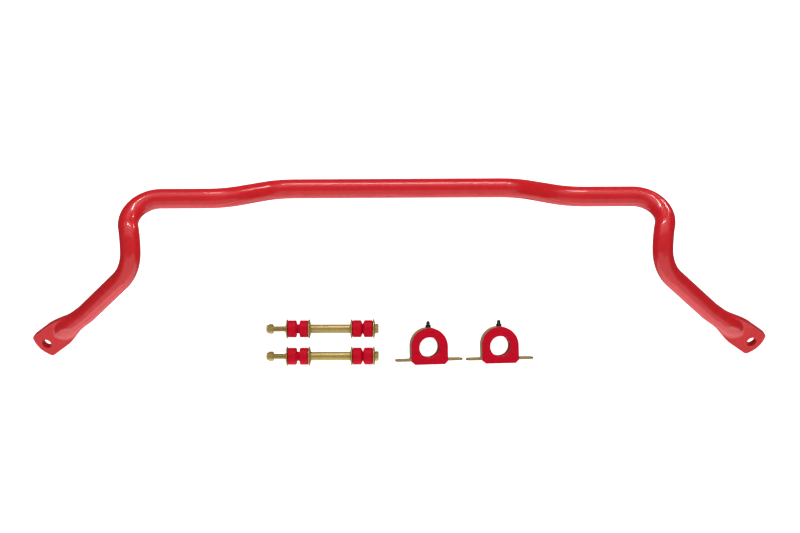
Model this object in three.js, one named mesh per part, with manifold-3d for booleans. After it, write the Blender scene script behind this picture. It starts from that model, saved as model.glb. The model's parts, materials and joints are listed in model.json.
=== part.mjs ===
// A front sway bar kit laid out flat: one bent round bar with forged flat ends, two bolt-type end
// links and two greasable frame bushing sets. Millimetres, +Z up, +X along the bar.
// The bar rests on its low centre section and on the lower corners of its two forged ends.

import * as THREE from 'three';
import { mergeVertices } from 'three/addons/utils/BufferGeometryUtils.js';
import { ConvexGeometry } from 'three/addons/geometries/ConvexGeometry.js';
import Module from 'manifold-3d';

const wasm = await Module();
wasm.setup();

// ---- Driving dimensions -------------------------------------------------------------------------

const REST_GAP = 0.2; // air between pieces that touch on the real kit

// Bar. Its right half runs through these corners, each bent to its own radius.
// Y counts from the centre section's axis and Z from the floor.
const BAR_RADIUS = 16;
const BAR_SIDES = 20;
const BEND_STEPS = 6;
const CORNERS = [
  { at: [198, 0, BAR_RADIUS], radius: 70 }, // end of the low centre section
  { at: [276, -20, 90], radius: 70 }, // start of the raised shoulder
  { at: [438, -20, 90], radius: 46 }, // shoulder turns into the arm
  { at: [416, -83, 136], radius: 50 }, // top of the arm
  { at: [418, -135, 124], radius: 66 }, // arm turns outwards and down
  { at: [508, -205.5, 62], radius: 110 }, // arm eases into the flat end
];
const EYE_CENTRE = [585.6, -254.4, 17.9];

// Forged flat end: distances run along the bar from the eye's centre, outwards being positive.
const FLAT_THICKNESS = 12;
const FLAT_NORMAL = [0.15, -0.545, 0.825];
const EYE_RADIUS = 8;
const FLAT_TIP = 18;
const FLAT_CORNER = 10.5;
const FLAT_HALF_WIDTH = 23.5;
const FLARE_END = -28;
const FLARE_START = -90;
const FLARE_EASE = 21;
const NOSE_START = -68;
const NOSE_SHOULDER = -45;
const NOSE_TIP = -26;

// End link: a 3/8 in bolt strung through cupped washers, bushings and a spacer sleeve.
const ROUND_SIDES = 20;
const BOLT_RADIUS = 4.76;
const BOLT_HEAD_HEIGHT = 5.6;
const BOLT_LENGTH = 180;
const HEX_ACROSS_FLATS = 14.29;
const NUT_CLEARANCE = 0.3;
const WASHER_RADIUS = 16;
const WASHER_SHEET = 1.8;
const WASHER_CUP = 1.4;
const WASHER_FLAT_RADIUS = 10.5;
const LINK_BUSHING_RADIUS = 14.2;
const LINK_BUSHING_LENGTH = 18.4;
const NIPPLE_LENGTH = 2.8;
const NIPPLE_RADIUS = 7.9;
const SLEEVE_RADIUS = 7.2;
const SLEEVE_LENGTH = 66.4;
const STRUNG_BORE_RADIUS = 5.2;
const BARE_THREAD = 20.8;
const NUT_HEIGHT = 11.6;
const INSERT_HEIGHT = 3.4;
const LINK_HEAD_X = -36.9;
const LINKS = [
  { axisY: -234, headTurn: 18, nutTurn: 30 }, // turns in degrees, from a corner of the hexagon up
  { axisY: -279.8, headTurn: 18, nutTurn: 24 },
];

// Frame bushing set, in its own frame: bore along Z, arch towards +Y, mounting face towards -Y.
const FRAME_BORE_RADIUS = 17;
const BORE_SIDES = 16;
const FLANGE_RADIUS = 30.3;
const ARCH_RISE = 2; // the arch's centre over the bore's
const FRAME_BUSHING_LENGTH = 38;
const FRAME_BUSHING_BOTTOM = -27.8;
const BOTTOM_CHAMFER = 5.5;
const STRAP_WIDTH = 32;
const STRAP_THICKNESS = 3;
const TAB_TOP = -19.3;
const TAB_REACH = 56;
const TAB_CORNER_RADIUS = 11;
const TAB_SLOT_RADIUS = 5.2;
const TAB_SLOT_HALF_LENGTH = 3;
const TAB_SLOT_X = 43;
const LEG_BEND_RADIUS = 3;
const ARCH_SIDES = 12;
const SET_TURN = THREE.MathUtils.degToRad(1);
const SETS = [
  { x: 52, y: -264.5, lean: THREE.MathUtils.degToRad(6) },
  { x: 169.4, y: -262.8, lean: THREE.MathUtils.degToRad(3) },
];

// Grease fitting, in its own frame: axis along Y, seat on the strap at Y = 0.
const FITTING_HEX_ACROSS_FLATS = 8;
const FITTING_HEX_HEIGHT = 4.2;
const FITTING_SHANK_RADIUS = 3.1;
const FITTING_SHANK_LENGTH = 5;
const FITTING_NECK_RADIUS = 2.9;
const FITTING_HEAD_RADIUS = 3.3;
const FITTING_HEIGHT = 10.6;
const BALL_RADIUS = 1.25;
const BALL_CHAMBER_RADIUS = 1.5;
const BALL_SEAT_RADIUS = 0.8;
const BALL_CENTRE = 8;
const SPRING_WIRE_RADIUS = 0.2;
const SPRING_RADIUS = 0.95;
const SPRING_TURNS = 4;
const GREASE_HOLE_RADIUS = 3.6;

// ---- Materials ----------------------------------------------------------------------------------

function finish(color, roughness, metalness) {
  return () => new THREE.MeshStandardMaterial({ color, roughness, metalness });
}

const redPaint = finish(0xc8202a, 0.22, 0);
const redUrethane = finish(0xc8001e, 0.45, 0);
const yellowZinc = finish(0xb5a04c, 0.35, 1);
const blackZinc = finish(0x2c302e, 0.4, 1);
const brightSteel = finish(0xb8b8b8, 0.25, 1);
const nylon = finish(0xd8d4c4, 0.5, 0);

// ---- Closed geometry and booleans ---------------------------------------------------------------

function signedVolume(positions, index) {
  const [a, b, c] = [new THREE.Vector3(), new THREE.Vector3(), new THREE.Vector3()];
  let total = 0;
  for (let i = 0; i < index.length; i += 3) {
    a.fromArray(positions, 3 * index[i]);
    b.fromArray(positions, 3 * index[i + 1]);
    c.fromArray(positions, 3 * index[i + 2]);
    total += a.dot(b.cross(c)) / 6;
  }
  return total;
}

// Welds a geometry's corners, drops the triangles that collapsed and turns its faces outwards.
function closed(geometry) {
  const bare = geometry.clone();
  for (const name of Object.keys(bare.attributes)) {
    if (name !== 'position') bare.deleteAttribute(name);
  }
  bare.clearGroups();
  const welded = mergeVertices(bare, 1e-4);
  const source = welded.index.array;
  const kept = [];
  for (let i = 0; i < source.length; i += 3) {
    const [a, b, c] = source.slice(i, i + 3);
    if (a !== b && b !== c && c !== a) kept.push(a, b, c);
  }
  if (signedVolume(welded.attributes.position.array, kept) < 0) kept.reverse();
  welded.setIndex(kept);
  return welded;
}

function solid(geometry) {
  const body = closed(geometry);
  return new wasm.Manifold(new wasm.Mesh({
    numProp: 3,
    vertProperties: new Float32Array(body.attributes.position.array),
    triVerts: new Uint32Array(body.index.array),
  }));
}

function geometryOf(manifold) {
  const mesh = manifold.getMesh();
  const geometry = new THREE.BufferGeometry();
  geometry.setAttribute('position', new THREE.BufferAttribute(mesh.vertProperties, 3));
  geometry.setIndex(new THREE.BufferAttribute(mesh.triVerts, 1));
  geometry.computeVertexNormals();
  return geometry;
}

// A closed body of revolution about X from [x, radius] points.
function revolved(points, sides = ROUND_SIDES) {
  const profile = points.map(([x, radius]) => new THREE.Vector2(radius, x));
  const geometry = new THREE.LatheGeometry(profile, sides);
  geometry.rotateZ(-Math.PI / 2);
  return closed(geometry);
}

// A washer-like body of revolution about X: the outline closes on itself away from the axis.
function revolvedRing(points, sides = ROUND_SIDES) {
  return revolved([...points, points[0]], sides);
}

// A hexagonal prism along X, turned about it by some degrees from the place where a corner is up.
function hexPrism(acrossFlats, height, turn = 0) {
  const cornerRadius = acrossFlats / Math.sqrt(3);
  const prism = new THREE.CylinderGeometry(cornerRadius, cornerRadius, height, 6);
  return prism.rotateZ(-Math.PI / 2).rotateX(THREE.MathUtils.degToRad(turn));
}

function piece(name, geometry, material) {
  const mesh = new THREE.Mesh(geometry, material());
  mesh.name = name;
  return mesh;
}

// ---- Sway bar -----------------------------------------------------------------------------------

// A rod's centre line: straights joined by circular bends. Each straight is one step and each bend
// is BEND_STEPS, so the curve is walked by station and not by length.
class BentRod extends THREE.Curve {
  constructor(start, corners, end) {
    super();
    const tangent = corners[0].point.clone().sub(start).normalize();
    this.stations = [{ point: start, tangent }];
    corners.forEach((corner, i) => {
      const before = i === 0 ? start : corners[i - 1].point;
      const after = i === corners.length - 1 ? end : corners[i + 1].point;
      this.addBend(before, corner, after);
    });
    const last = this.stations[this.stations.length - 1];
    this.stations.push({ point: end, tangent: last.tangent });
  }

  addBend(before, corner, after) {
    const incoming = corner.point.clone().sub(before).normalize();
    const outgoing = after.clone().sub(corner.point).normalize();
    const turn = incoming.angleTo(outgoing);
    const inwards = outgoing.clone().sub(incoming).normalize();
    const centre = corner.point.clone().addScaledVector(inwards, corner.radius / Math.cos(turn / 2));
    const axis = incoming.clone().cross(outgoing).normalize();
    const spoke = corner.point.clone()
      .addScaledVector(incoming, -corner.radius * Math.tan(turn / 2))
      .sub(centre);
    for (let step = 0; step <= BEND_STEPS; step += 1) {
      const angle = (turn * step) / BEND_STEPS;
      this.stations.push({
        point: spoke.clone().applyAxisAngle(axis, angle).add(centre),
        tangent: incoming.clone().applyAxisAngle(axis, angle),
      });
    }
  }

  get steps() {
    return this.stations.length - 1;
  }

  getPointAt(u) {
    return this.stations[Math.round(u * this.steps)].point.clone();
  }

  getTangentAt(u) {
    return this.stations[Math.round(u * this.steps)].tangent.clone();
  }

  getPoint(t) {
    return this.getPointAt(t);
  }
}

const eyeCentre = new THREE.Vector3(...EYE_CENTRE);
const corners = CORNERS.map(({ at, radius }) => ({ point: new THREE.Vector3(...at), radius }));
const outwards = eyeCentre.clone().sub(corners[corners.length - 1].point).normalize();
const across = new THREE.Vector3(...FLAT_NORMAL).cross(outwards).normalize();
const flatNormal = outwards.clone().cross(across);

// The flat end's own frame: X outwards along the bar, Y across the flat, Z square to it.
const flatFrame = new THREE.Matrix4().makeBasis(outwards, across, flatNormal).setPosition(eyeCentre);

// A point of the round-to-flat transition, on an ellipse round the bar's axis.
function ringPoints(along, halfWidth, halfThickness) {
  return Array.from({ length: BAR_SIDES }, (_, i) => {
    const angle = (2 * Math.PI * i) / BAR_SIDES;
    return new THREE.Vector3(along, halfWidth * Math.cos(angle), halfThickness * Math.sin(angle));
  });
}

// Plan of the flat: narrow inside the round bar, flared to full width, with a bowed outer edge.
function flatOutline() {
  const root = BAR_RADIUS - 2;
  const wide = FLAT_HALF_WIDTH;
  const easeIn = FLARE_START + FLARE_EASE;
  const easeOut = FLARE_END - FLARE_EASE;
  const outline = new THREE.Shape();
  outline.moveTo(FLARE_START, -root);
  outline.bezierCurveTo(easeIn, -root, easeOut, -wide, FLARE_END, -wide);
  outline.lineTo(FLAT_CORNER, -wide);
  outline.quadraticCurveTo(2 * FLAT_TIP - FLAT_CORNER, 0, FLAT_CORNER, wide);
  outline.lineTo(FLARE_END, wide);
  outline.bezierCurveTo(easeOut, wide, easeIn, root, FLARE_START, root);
  outline.closePath();
  return outline;
}

// Flat plate, tapering nose of the round bar and the eye, still lying in the flat's own frame.
function forgedEnd() {
  const plate = new THREE.ExtrudeGeometry(flatOutline(), {
    depth: FLAT_THICKNESS,
    bevelEnabled: false,
    curveSegments: 7,
  });
  plate.translate(0, 0, -FLAT_THICKNESS / 2);
  const flare = new ConvexGeometry([
    ...ringPoints(NOSE_START - 2, BAR_RADIUS, BAR_RADIUS),
    ...ringPoints(NOSE_START, BAR_RADIUS, BAR_RADIUS),
    ...ringPoints(NOSE_SHOULDER, BAR_RADIUS + 2.5, BAR_RADIUS - 2.5),
    ...ringPoints((NOSE_SHOULDER + NOSE_TIP) / 2, BAR_RADIUS, BAR_RADIUS / 1.6),
    ...ringPoints(NOSE_TIP, BAR_RADIUS / 2, FLAT_THICKNESS / 2 - 0.5),
  ]);
  const eye = new THREE.CylinderGeometry(EYE_RADIUS, EYE_RADIUS, 2 * FLAT_THICKNESS, ROUND_SIDES);
  eye.rotateX(Math.PI / 2);
  return solid(plate).add(solid(flare)).subtract(solid(eye));
}

function halfBar() {
  const end = eyeCentre.clone().addScaledVector(outwards, NOSE_START);
  const rod = new BentRod(new THREE.Vector3(0, 0, BAR_RADIUS), corners, end);
  const section = new THREE.Shape().absarc(0, 0, BAR_RADIUS, 0, 2 * Math.PI);
  const round = new THREE.ExtrudeGeometry(section, {
    steps: rod.steps,
    extrudePath: rod,
    curveSegments: BAR_SIDES / 2,
  });
  const forged = geometryOf(forgedEnd()).applyMatrix4(flatFrame);
  return solid(round).add(solid(forged));
}

function swayBar() {
  const right = halfBar();
  const left = geometryOf(right).scale(-1, 1, 1);
  return piece('sway_bar', geometryOf(right.add(solid(left))), redPaint);
}

// ---- End links ----------------------------------------------------------------------------------

// The link lies along X with its bolt head at X = 0 and its nut towards -X.
function bolt(name, turn) {
  const chamfer = 1;
  const shank = revolved([
    [-BOLT_LENGTH, 0],
    [-BOLT_LENGTH, BOLT_RADIUS - chamfer],
    [-BOLT_LENGTH + chamfer, BOLT_RADIUS],
    [1, BOLT_RADIUS],
    [1, 0],
  ]);
  const head = hexPrism(HEX_ACROSS_FLATS, BOLT_HEAD_HEIGHT, turn);
  head.translate(BOLT_HEAD_HEIGHT / 2, 0, 0);
  return piece(name, geometryOf(solid(shank).add(solid(head))), yellowZinc);
}

// A cupped washer whose flat side is at X = 0 and whose rim opens towards -X.
function cuppedWasher() {
  return revolvedRing([
    [0, STRUNG_BORE_RADIUS],
    [0, WASHER_FLAT_RADIUS],
    [-WASHER_CUP, WASHER_RADIUS],
    [-WASHER_CUP - WASHER_SHEET, WASHER_RADIUS],
    [-WASHER_SHEET, WASHER_FLAT_RADIUS - 0.8],
    [-WASHER_SHEET, STRUNG_BORE_RADIUS],
  ]);
}

// A bushing whose seat is at X = 0 and whose nipple points towards -X.
// A square shoulder leaves a flat-bottomed groove between two bushings, a sloping one a V groove.
function linkBushing(slopingShoulder) {
  const body = LINK_BUSHING_LENGTH - NIPPLE_LENGTH;
  const seatRadius = WASHER_FLAT_RADIUS - 1.2;
  const cupDepth = WASHER_CUP + 1.2;
  const shoulder = slopingShoulder
    ? [[-body, LINK_BUSHING_RADIUS], [-LINK_BUSHING_LENGTH, NIPPLE_RADIUS]]
    : [[-body + 1, LINK_BUSHING_RADIUS], [-body, LINK_BUSHING_RADIUS - 1], [-body, NIPPLE_RADIUS],
      [-LINK_BUSHING_LENGTH, NIPPLE_RADIUS]];
  return revolvedRing([
    [0, STRUNG_BORE_RADIUS],
    [0, seatRadius],
    [-cupDepth, LINK_BUSHING_RADIUS],
    ...shoulder,
    [-LINK_BUSHING_LENGTH, STRUNG_BORE_RADIUS],
  ]);
}

function sleeve() {
  return revolvedRing([
    [0, STRUNG_BORE_RADIUS],
    [0, SLEEVE_RADIUS],
    [-SLEEVE_LENGTH, SLEEVE_RADIUS],
    [-SLEEVE_LENGTH, STRUNG_BORE_RADIUS],
  ]);
}

// A lock nut from X = 0 towards -X: hexagon, round crown and the recess that holds the insert.
function lockNut(turn) {
  const hexHeight = NUT_HEIGHT - INSERT_HEIGHT;
  const crownRadius = HEX_ACROSS_FLATS / 2 - 0.4;
  const hexagon = hexPrism(HEX_ACROSS_FLATS, hexHeight, turn).translate(-hexHeight / 2, 0, 0);
  const crown = revolved([
    [-NUT_HEIGHT, 0],
    [-NUT_HEIGHT, crownRadius - 1],
    [-NUT_HEIGHT + 1, crownRadius],
    [-1, crownRadius],
    [-1, 0],
  ]);
  const boreRadius = BOLT_RADIUS + NUT_CLEARANCE;
  const recessRadius = insertRadius() + REST_GAP;
  const bore = revolved([
    [-NUT_HEIGHT - 1, 0],
    [-NUT_HEIGHT - 1, boreRadius],
    [-NUT_HEIGHT + 0.8, boreRadius],
    [-NUT_HEIGHT + 0.8, recessRadius],
    [-hexHeight + 0.6, recessRadius],
    [-hexHeight + 0.6, boreRadius],
    [1, boreRadius],
    [1, 0],
  ]);
  return geometryOf(solid(hexagon).add(solid(crown)).subtract(solid(bore)));
}

function insertRadius() {
  return HEX_ACROSS_FLATS / 2 - 1.6;
}

function nutInsert() {
  const front = -(NUT_HEIGHT - INSERT_HEIGHT) + 0.6 - REST_GAP;
  const back = -NUT_HEIGHT + 0.8 + REST_GAP;
  const boreRadius = BOLT_RADIUS + NUT_CLEARANCE / 2;
  return revolvedRing([
    [front, boreRadius],
    [front, insertRadius()],
    [back, insertRadius()],
    [back, boreRadius],
  ]);
}

function mirroredAlongX(geometry) {
  return closed(geometry.clone().scale(-1, 1, 1));
}

// Everything on the bolt, in order from its head. Washers and bushings face each other in pairs.
function endLink(number, { axisY, headTurn, nutTurn }) {
  const link = new THREE.Group();
  const prefix = `end_link_${number}`;
  link.add(bolt(`${prefix}_bolt`, headTurn));
  let x = -REST_GAP;

  function string(name, geometry, length, material, turned = false) {
    const mesh = piece(`${prefix}_${name}`, turned ? mirroredAlongX(geometry) : geometry, material);
    mesh.position.x = turned ? x - length : x;
    link.add(mesh);
    x -= length + REST_GAP;
  }

  string('outer_eye_washer', cuppedWasher(), WASHER_SHEET, yellowZinc);
  string('outer_eye_bushing', linkBushing(true), LINK_BUSHING_LENGTH, redUrethane);
  string('inner_eye_bushing', linkBushing(true), LINK_BUSHING_LENGTH, redUrethane, true);
  string('inner_eye_washer', cuppedWasher(), WASHER_SHEET, yellowZinc, true);
  string('sleeve', sleeve(), SLEEVE_LENGTH, yellowZinc);
  string('inner_arm_washer', cuppedWasher(), WASHER_SHEET, yellowZinc);
  string('inner_arm_bushing', linkBushing(false), LINK_BUSHING_LENGTH, redUrethane);
  string('outer_arm_bushing', linkBushing(false), LINK_BUSHING_LENGTH, redUrethane, true);
  string('outer_arm_washer', cuppedWasher(), WASHER_SHEET, yellowZinc, true);

  for (const [name, geometry, material] of [
    ['nut', lockNut(nutTurn), yellowZinc],
    ['nut_insert', nutInsert(), nylon],
  ]) {
    const mesh = piece(`${prefix}_${name}`, geometry, material);
    mesh.position.x = x - BARE_THREAD;
    link.add(mesh);
  }
  link.position.set(LINK_HEAD_X, axisY, WASHER_RADIUS);
  return link;
}

// ---- Frame bushing sets -------------------------------------------------------------------------

// The bushing's outline: an arch of the given radius on straight sides, with chamfered feet.
function archOutline(radius) {
  const outline = new THREE.Shape();
  outline.moveTo(radius, ARCH_RISE);
  outline.absarc(0, ARCH_RISE, radius, 0, Math.PI);
  outline.lineTo(-radius, FRAME_BUSHING_BOTTOM + BOTTOM_CHAMFER);
  outline.lineTo(-radius + BOTTOM_CHAMFER, FRAME_BUSHING_BOTTOM);
  outline.lineTo(radius - BOTTOM_CHAMFER, FRAME_BUSHING_BOTTOM);
  outline.lineTo(radius, FRAME_BUSHING_BOTTOM + BOTTOM_CHAMFER);
  outline.closePath();
  return outline;
}

function centredExtrusion(outline, depth, curveSegments = ARCH_SIDES) {
  const geometry = new THREE.ExtrudeGeometry(outline, { depth, curveSegments, bevelEnabled: false });
  return geometry.translate(0, 0, -depth / 2);
}

// A plain cylinder along Y whose lower end is at the given height.
function uprightCylinder(radius, bottom, height, sides = ROUND_SIDES) {
  return new THREE.CylinderGeometry(radius, radius, height, sides).translate(0, bottom + height / 2, 0);
}

// A flanged block with a bore and a grease hole from the top. The knife cut from its bore to its foot,
// which lets it on to the bar, is closed and has no width.
function frameBushing(number) {
  const bodyRadius = FLANGE_RADIUS - STRAP_THICKNESS - REST_GAP;
  const grooveWidth = STRAP_WIDTH + 2 * REST_GAP;
  const flangeLength = (FRAME_BUSHING_LENGTH - grooveWidth) / 2;
  let block = solid(centredExtrusion(archOutline(bodyRadius), FRAME_BUSHING_LENGTH - 1));
  for (const side of [-1, 1]) {
    const flange = centredExtrusion(archOutline(FLANGE_RADIUS), flangeLength);
    flange.translate(0, 0, (side * (FRAME_BUSHING_LENGTH - flangeLength)) / 2);
    block = block.add(solid(flange));
  }
  const bore = new THREE.CylinderGeometry(
    FRAME_BORE_RADIUS,
    FRAME_BORE_RADIUS,
    2 * FRAME_BUSHING_LENGTH,
    BORE_SIDES,
  );
  bore.rotateX(Math.PI / 2);
  const greaseHole = uprightCylinder(GREASE_HOLE_RADIUS, 0, 2 * FLANGE_RADIUS, 8);
  const cut = block.subtract(solid(bore)).subtract(solid(greaseHole));
  return piece(`frame_bushing_${number}`, geometryOf(cut), redUrethane);
}

// The strap's edge-on outline: tab, leg, arch, leg, tab, with a rounded bend at the foot of each leg.
function strapOutline() {
  const outer = FLANGE_RADIUS;
  const inner = FLANGE_RADIUS - STRAP_THICKNESS;
  const tabBottom = TAB_TOP - STRAP_THICKNESS;
  const bend = LEG_BEND_RADIUS;
  const outline = new THREE.Shape();
  outline.moveTo(TAB_REACH, tabBottom);
  outline.lineTo(TAB_REACH, TAB_TOP);
  outline.lineTo(outer + bend, TAB_TOP);
  outline.quadraticCurveTo(outer, TAB_TOP, outer, TAB_TOP + bend);
  outline.absarc(0, ARCH_RISE, outer, 0, Math.PI);
  outline.lineTo(-outer, TAB_TOP + bend);
  outline.quadraticCurveTo(-outer, TAB_TOP, -outer - bend, TAB_TOP);
  outline.lineTo(-TAB_REACH, TAB_TOP);
  outline.lineTo(-TAB_REACH, tabBottom);
  outline.lineTo(-outer + STRAP_THICKNESS / 2, tabBottom);
  outline.quadraticCurveTo(-inner, tabBottom, -inner, tabBottom + bend);
  outline.absarc(0, ARCH_RISE, inner, Math.PI, 0, true);
  outline.lineTo(inner, tabBottom + bend);
  outline.quadraticCurveTo(inner, tabBottom, outer - STRAP_THICKNESS / 2, tabBottom);
  outline.closePath();
  return outline;
}

// The strap seen from above: full width with rounded tab corners and one slot in each tab.
function strapPlan() {
  const half = STRAP_WIDTH / 2;
  const round = TAB_CORNER_RADIUS;
  const plan = new THREE.Shape();
  plan.moveTo(TAB_REACH, 0);
  plan.lineTo(TAB_REACH, half - round);
  plan.absarc(TAB_REACH - round, half - round, round, 0, Math.PI / 2);
  plan.lineTo(-TAB_REACH + round, half);
  plan.absarc(-TAB_REACH + round, half - round, round, Math.PI / 2, Math.PI);
  plan.lineTo(-TAB_REACH, -half + round);
  plan.absarc(-TAB_REACH + round, -half + round, round, Math.PI, 1.5 * Math.PI);
  plan.lineTo(TAB_REACH - round, -half);
  plan.absarc(TAB_REACH - round, -half + round, round, 1.5 * Math.PI, 2 * Math.PI);
  plan.closePath();
  for (const side of [-1, 1]) {
    const slot = new THREE.Path();
    const centre = side * TAB_SLOT_X;
    slot.absarc(centre + TAB_SLOT_HALF_LENGTH, 0, TAB_SLOT_RADIUS, -Math.PI / 2, Math.PI / 2);
    slot.absarc(centre - TAB_SLOT_HALF_LENGTH, 0, TAB_SLOT_RADIUS, Math.PI / 2, 1.5 * Math.PI);
    slot.closePath();
    plan.holes.push(slot);
  }
  return plan;
}

function frameBracket(number) {
  const strap = solid(centredExtrusion(strapOutline(), STRAP_WIDTH));
  const plan = centredExtrusion(strapPlan(), 4 * FLANGE_RADIUS, 4);
  plan.rotateX(-Math.PI / 2);
  const fittingHole = uprightCylinder(FITTING_SHANK_RADIUS + REST_GAP, 0, 2 * FLANGE_RADIUS, 12);
  const cut = strap.intersect(solid(plan)).subtract(solid(fittingHole));
  return piece(`frame_bracket_${number}`, geometryOf(cut), yellowZinc);
}

// Hexagon, neck and conical head over a shank, with the ball's chamber running through them.
function greaseFitting(number) {
  const chamberTop = BALL_CENTRE + 0.5;
  const chamberBottom = -FITTING_SHANK_LENGTH + 0.8;
  const outside = revolved([
    [-FITTING_SHANK_LENGTH, 0],
    [-FITTING_SHANK_LENGTH, FITTING_SHANK_RADIUS - 0.5],
    [-FITTING_SHANK_LENGTH + 0.5, FITTING_SHANK_RADIUS],
    [FITTING_HEX_HEIGHT - 0.5, FITTING_SHANK_RADIUS],
    [FITTING_HEX_HEIGHT + 0.3, FITTING_NECK_RADIUS],
    [FITTING_HEX_HEIGHT + 1.5, FITTING_NECK_RADIUS],
    [FITTING_HEX_HEIGHT + 2.4, FITTING_HEAD_RADIUS],
    [FITTING_HEX_HEIGHT + 3.2, FITTING_HEAD_RADIUS],
    [FITTING_HEIGHT - 0.6, FITTING_NECK_RADIUS],
    [FITTING_HEIGHT, FITTING_NECK_RADIUS - 0.7],
    [FITTING_HEIGHT, 0],
  ], 12);
  const hexagon = hexPrism(FITTING_HEX_ACROSS_FLATS, FITTING_HEX_HEIGHT);
  hexagon.translate(FITTING_HEX_HEIGHT / 2, 0, 0);
  const passage = revolved([
    [-FITTING_SHANK_LENGTH - 1, 0],
    [-FITTING_SHANK_LENGTH - 1, BALL_SEAT_RADIUS],
    [chamberBottom, BALL_SEAT_RADIUS],
    [chamberBottom, BALL_CHAMBER_RADIUS],
    [chamberTop, BALL_CHAMBER_RADIUS],
    [chamberTop + 0.8, BALL_SEAT_RADIUS],
    [FITTING_HEIGHT + 1, BALL_SEAT_RADIUS],
    [FITTING_HEIGHT + 1, 0],
  ], 8);
  const body = solid(outside).add(solid(hexagon)).subtract(solid(passage));
  return piece(`grease_fitting_${number}`, standing(geometryOf(body)), blackZinc);
}

// Turns a body of revolution about X so that its axis stands along Y.
function standing(geometry) {
  return geometry.rotateZ(Math.PI / 2);
}

function checkBall(number) {
  const geometry = closed(new THREE.SphereGeometry(BALL_RADIUS, 10, 6)).translate(0, BALL_CENTRE, 0);
  return piece(`check_ball_${number}`, geometry, brightSteel);
}

class Helix extends THREE.Curve {
  constructor(radius, bottom, top, turns) {
    super();
    Object.assign(this, { radius, bottom, top, turns });
  }

  getPoint(t) {
    const angle = 2 * Math.PI * this.turns * t;
    const height = this.bottom + (this.top - this.bottom) * t;
    return new THREE.Vector3(this.radius * Math.cos(angle), height, this.radius * Math.sin(angle));
  }
}

function checkSpring(number) {
  const bottom = -FITTING_SHANK_LENGTH + 0.8 + REST_GAP + SPRING_WIRE_RADIUS;
  const top = BALL_CENTRE - BALL_RADIUS - REST_GAP - SPRING_WIRE_RADIUS;
  const section = new THREE.Shape().absarc(0, 0, SPRING_WIRE_RADIUS, 0, 2 * Math.PI);
  const wire = new THREE.ExtrudeGeometry(section, {
    steps: 8 * SPRING_TURNS,
    extrudePath: new Helix(SPRING_RADIUS, bottom, top, SPRING_TURNS),
    curveSegments: 3,
  });
  return piece(`check_spring_${number}`, closed(wire), brightSteel);
}

function frameSet(number, { x, y, lean }) {
  const fitting = new THREE.Group();
  fitting.add(greaseFitting(number), checkBall(number), checkSpring(number));
  fitting.position.y = ARCH_RISE + FLANGE_RADIUS + REST_GAP;
  const leaning = new THREE.Group();
  leaning.add(frameBushing(number), frameBracket(number), fitting);
  leaning.rotation.y = lean;
  const set = new THREE.Group();
  set.add(leaning);
  set.rotation.z = SET_TURN;
  set.position.set(x, y, 0);
  set.position.z = -new THREE.Box3().setFromObject(set, true).min.z;
  return set;
}

// ---- The kit ------------------------------------------------------------------------------------

const kit = new THREE.Group();
kit.add(swayBar());
LINKS.forEach((link, i) => kit.add(endLink(i + 1, link)));
SETS.forEach((place, i) => kit.add(frameSet(i + 1, place)));

// The origin goes to the middle of the kit's footprint, on the floor.
const footprint = new THREE.Box3().setFromObject(kit, true);
const middle = footprint.getCenter(new THREE.Vector3());
kit.position.set(-middle.x, -middle.y, -footprint.min.z);

export default kit;
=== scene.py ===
"""A sway bar kit laid out flat: fine surfaces, materials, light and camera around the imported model.

Everything is in metres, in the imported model's frame: +X along the bar, +Y from the hardware
towards the bar's centre section, +Z up from the table.
"""

import json
import math

import bmesh
import bpy
import numpy as np
from mathutils import Matrix, Vector


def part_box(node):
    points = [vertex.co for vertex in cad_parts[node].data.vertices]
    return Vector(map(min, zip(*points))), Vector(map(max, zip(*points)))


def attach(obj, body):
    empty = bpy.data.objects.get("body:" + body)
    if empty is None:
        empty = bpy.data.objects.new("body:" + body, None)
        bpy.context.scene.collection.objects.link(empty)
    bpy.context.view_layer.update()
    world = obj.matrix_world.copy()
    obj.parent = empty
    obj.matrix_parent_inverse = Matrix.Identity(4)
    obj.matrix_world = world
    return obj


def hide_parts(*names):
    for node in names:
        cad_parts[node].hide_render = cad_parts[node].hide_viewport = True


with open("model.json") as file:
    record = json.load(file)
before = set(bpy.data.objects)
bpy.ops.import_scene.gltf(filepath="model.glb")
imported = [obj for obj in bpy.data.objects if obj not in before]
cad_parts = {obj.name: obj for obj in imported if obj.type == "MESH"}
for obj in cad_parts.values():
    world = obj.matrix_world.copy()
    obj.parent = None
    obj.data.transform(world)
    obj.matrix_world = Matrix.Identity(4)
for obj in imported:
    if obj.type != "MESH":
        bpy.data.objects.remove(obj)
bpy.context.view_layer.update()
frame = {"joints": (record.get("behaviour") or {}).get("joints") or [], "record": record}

MM = 0.001
# Points closer than these count as one, as a mesh is made and after a cut.
MERGE_DISTANCE = 0.0001 * MM
WELD_DISTANCE = 0.001 * MM

# ---- Sizes, in metres ---------------------------------------------------------------------------

BAR_RADIUS = 16 * MM
BAR_SIDES = 96
BEND_STEPS = 16
# The bar's right half, in millimetres: each corner with its bend radius, then the eye's centre.
# Y counts from the centre section's axis.
BAR_CORNERS = [
    ((198, 0, 16), 70),
    ((276, -20, 90), 70),
    ((438, -20, 90), 46),
    ((416, -83, 136), 50),
    ((418, -135, 124), 66),
    ((508, -205.5, 62), 110),
]
EYE_CENTRE = (585.6, -254.4, 17.9)
FLAT_NORMAL = Vector((0.15, -0.545, 0.825))

FLAT_HALF_THICKNESS = 6 * MM
FLAT_HALF_WIDTH = 23.5 * MM
FLAT_ROOT_HALF_WIDTH = 14 * MM
FLAT_END = 10.5 * MM
FLAT_BOW = 7.4 * MM
FLAT_CORNER_RADIUS = 3.5 * MM
FLAT_EDGE_RADIUS = 1.2 * MM
FLARE_START = -90 * MM
FLARE_END = -28 * MM
FLARE_STEP = 1 * MM
EDGE_STEPS = 5
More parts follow.
